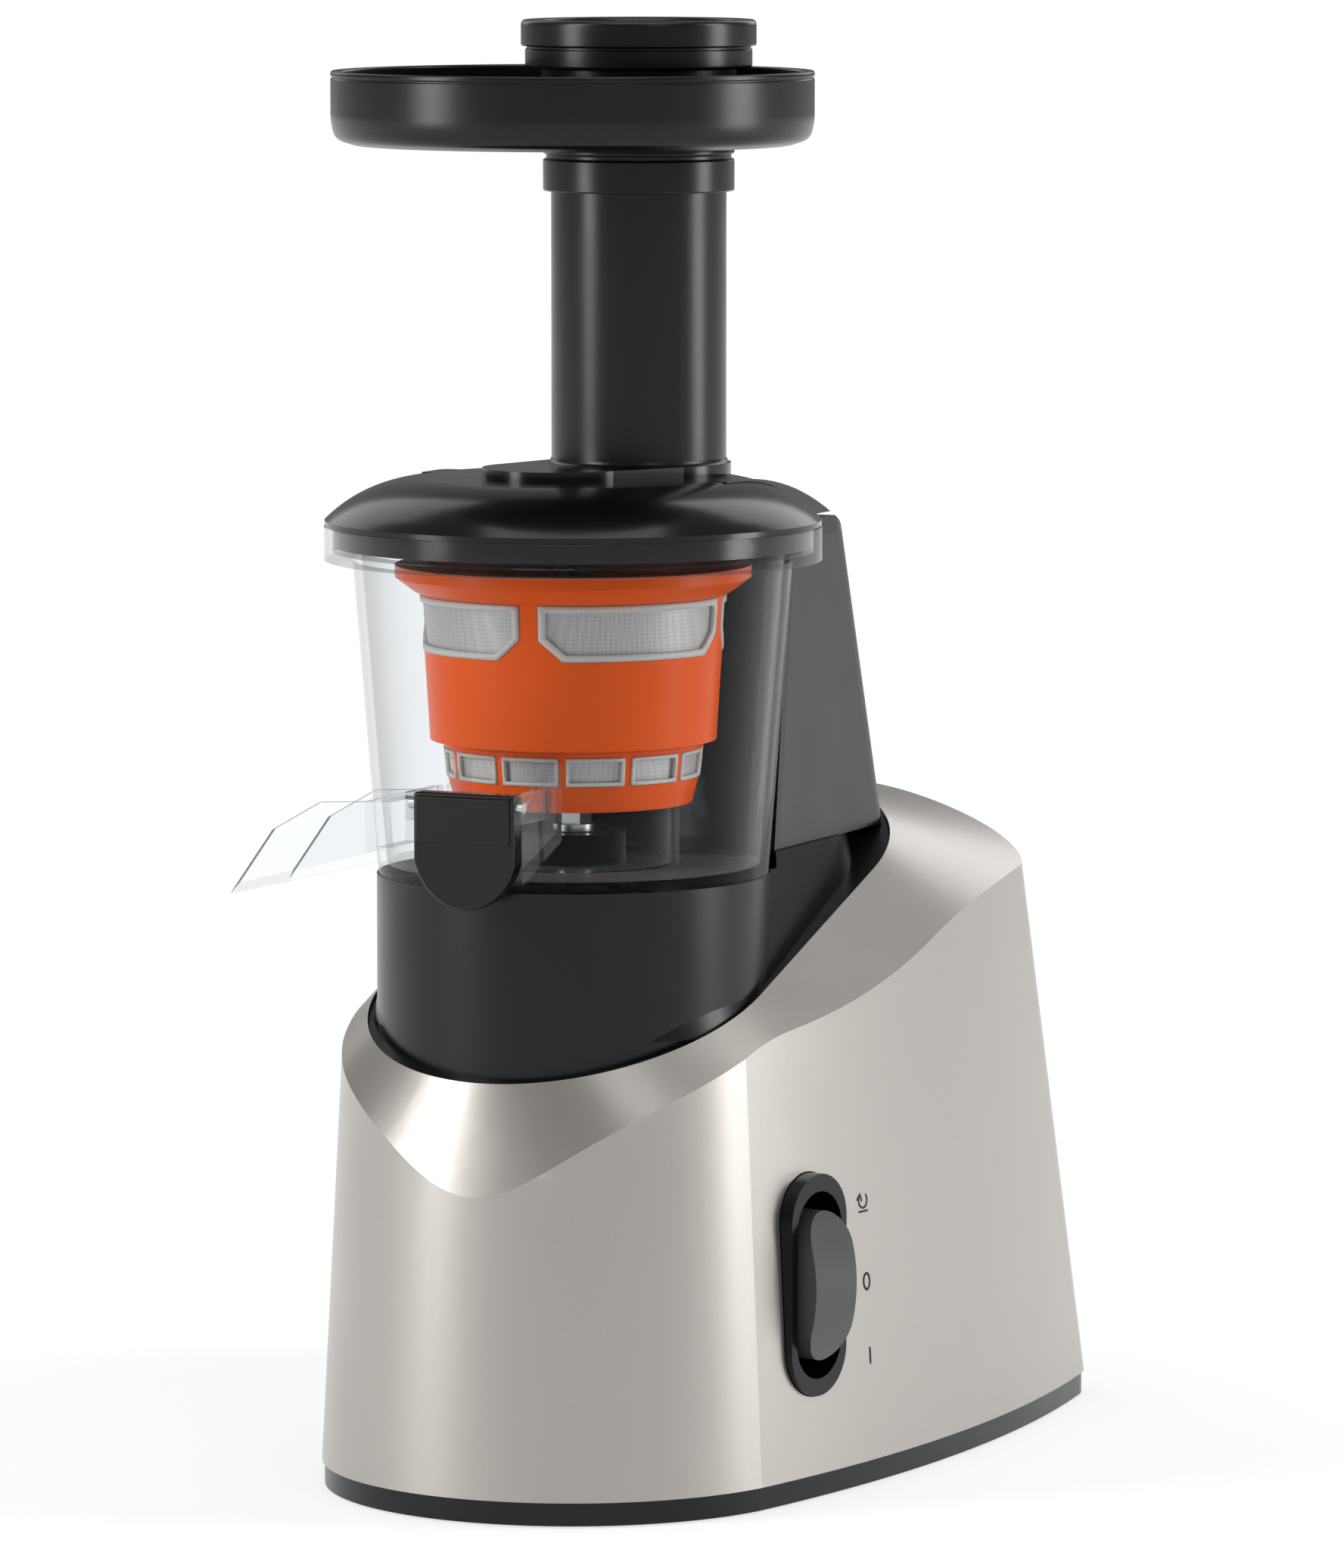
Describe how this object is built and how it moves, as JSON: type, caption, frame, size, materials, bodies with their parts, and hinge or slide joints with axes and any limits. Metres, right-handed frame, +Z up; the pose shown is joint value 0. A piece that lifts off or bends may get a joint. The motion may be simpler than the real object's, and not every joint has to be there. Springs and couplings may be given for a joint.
{
  "type": "cold press juicer",
  "caption": "Upright cold press juicer: tapered silver motor base, clear bowl with juice spout and pulp chute, strainer basket, pressing screw, black lid with feed tube, tray and pusher.",
  "frame": {"origin": "on the standing surface, under the axis of the bowl and pressing screw", "axes": "+Z up, front with the juice spout towards -Y, pulp chute towards -X, switch on the +X side, pillar towards +Y"},
  "size_m": [0.1881, 0.2869, 0.4205],
  "materials": {
    "silver": "satin champagne silver paint",
    "black_gloss": "polished black",
    "black_satin": "satin black",
    "grey_panel": "satin grey",
    "rubber": "matt",
    "steel": "turned",
    "copper_iron": "laminated iron with windings",
    "bronze": "sintered",
    "white_nylon": "natural nylon",
    "dark_nylon": "glass-filled nylon",
    "board_green": "coated board",
    "clear": "clear polished copolyester",
    "orange": "translucent orange plastic",
    "steel_mesh": "fine etched mesh"
  },
  "bodies": {
    "base": {"outer_housing": "silver", "switch_bezel": "black_gloss", "switch_body": "black_satin", "inner_cover": "black_satin", "grip_liner": "grey_panel", "rear_pillar": "black_satin", "left_pillar_panel": "grey_panel", "right_pillar_panel": "grey_panel", "foot_plate": "black_satin", "rubber_feet": "rubber", "motor_seat": "rubber", "motor_can": "steel", "motor_stator": "copper_iron", "motor_bearing_low": "bronze", "motor_bearing_high": "bronze", "gearbox_case": "dark_nylon", "gearbox_cover": "dark_nylon", "output_bush_low": "bronze", "output_bush_high": "bronze", "shaft_seal": "rubber", "control_board": "board_green"},
    "rocker": {"rocker_paddle": "black_satin"},
    "rotor": {"rotor_shaft": "steel", "rotor_stack": "copper_iron", "cooling_fan": "white_nylon"},
    "idler": {"idler_gear": "white_nylon"},
    "drive": {"output_gear": "white_nylon", "output_shaft": "steel"},
    "bowl": {"juice_bowl": "clear", "bowl_seal": "rubber", "spout_hinge_ears": "clear", "stopper_pin": "steel"},
    "stopper": {"drip_stopper": "black_gloss"},
    "basket": {"filter_basket": "orange", "upper_mesh": "steel_mesh", "lower_mesh": "steel_mesh"},
    "screw": {"pressing_screw": "black_satin"},
    "lid": {"lid": "black_gloss", "feed_tube": "black_satin"},
    "tray": {"tray": "black_satin"},
    "pusher": {"pusher": "black_satin", "pusher_foot": "black_satin"}
  },
  "joints": [
    {"name": "rocker_tilt", "type": "hinge", "parent": "base", "child": "rocker", "pos_m": [0.07021, 0.0045, 0.062], "axis": [0.2011, 0.9796, 0], "range_deg": [-8, 8]},
    {"name": "rotor_spin", "type": "hinge", "parent": "base", "child": "rotor", "pos_m": [0, 0.099, 0.06], "axis": [0, 0, 1], "continuous": true},
    {"name": "idler_spin", "type": "hinge", "parent": "base", "child": "idler", "pos_m": [0, 0.06, 0.115], "axis": [0, 0, 1], "continuous": true},
    {"name": "drive_spin", "type": "hinge", "parent": "base", "child": "drive", "pos_m": [0, 0, 0.12], "axis": [0, 0, 1], "continuous": true},
    {"name": "bowl_lift", "type": "slide", "parent": "base", "child": "bowl", "axis": [0, 0, 1], "range_m": [0, 0.12]},
    {"name": "stopper_flip", "type": "hinge", "parent": "bowl", "child": "stopper", "pos_m": [0, -0.0704, 0.2035], "axis": [-1, 0, 0], "range_deg": [0, 85]},
    {"name": "basket_lift", "type": "slide", "parent": "bowl", "child": "basket", "axis": [0, 0, 1], "range_m": [0, 0.09]},
    {"name": "screw_spin", "type": "hinge", "parent": "basket", "child": "screw", "pos_m": [0, 0, 0.23], "axis": [0, 0, 1], "continuous": true},
    {"name": "lid_lift", "type": "slide", "parent": "basket", "child": "lid", "axis": [0, 0, 1], "range_m": [0, 0.06]},
    {"name": "tray_lift", "type": "slide", "parent": "lid", "child": "tray", "axis": [0, 0, 1], "range_m": [0, 0.05]},
    {"name": "pusher_slide", "type": "slide", "parent": "tray", "child": "pusher", "axis": [0, 0, 1], "range_m": [0, 0.11]}
  ],
  "couplings": [
    {"joint": "idler_spin", "follows": "rotor_spin", "ratio": -0.3},
    {"joint": "drive_spin", "follows": "rotor_spin", "ratio": 0.087097},
    {"joint": "screw_spin", "follows": "rotor_spin", "ratio": 0.087097}
  ]
}
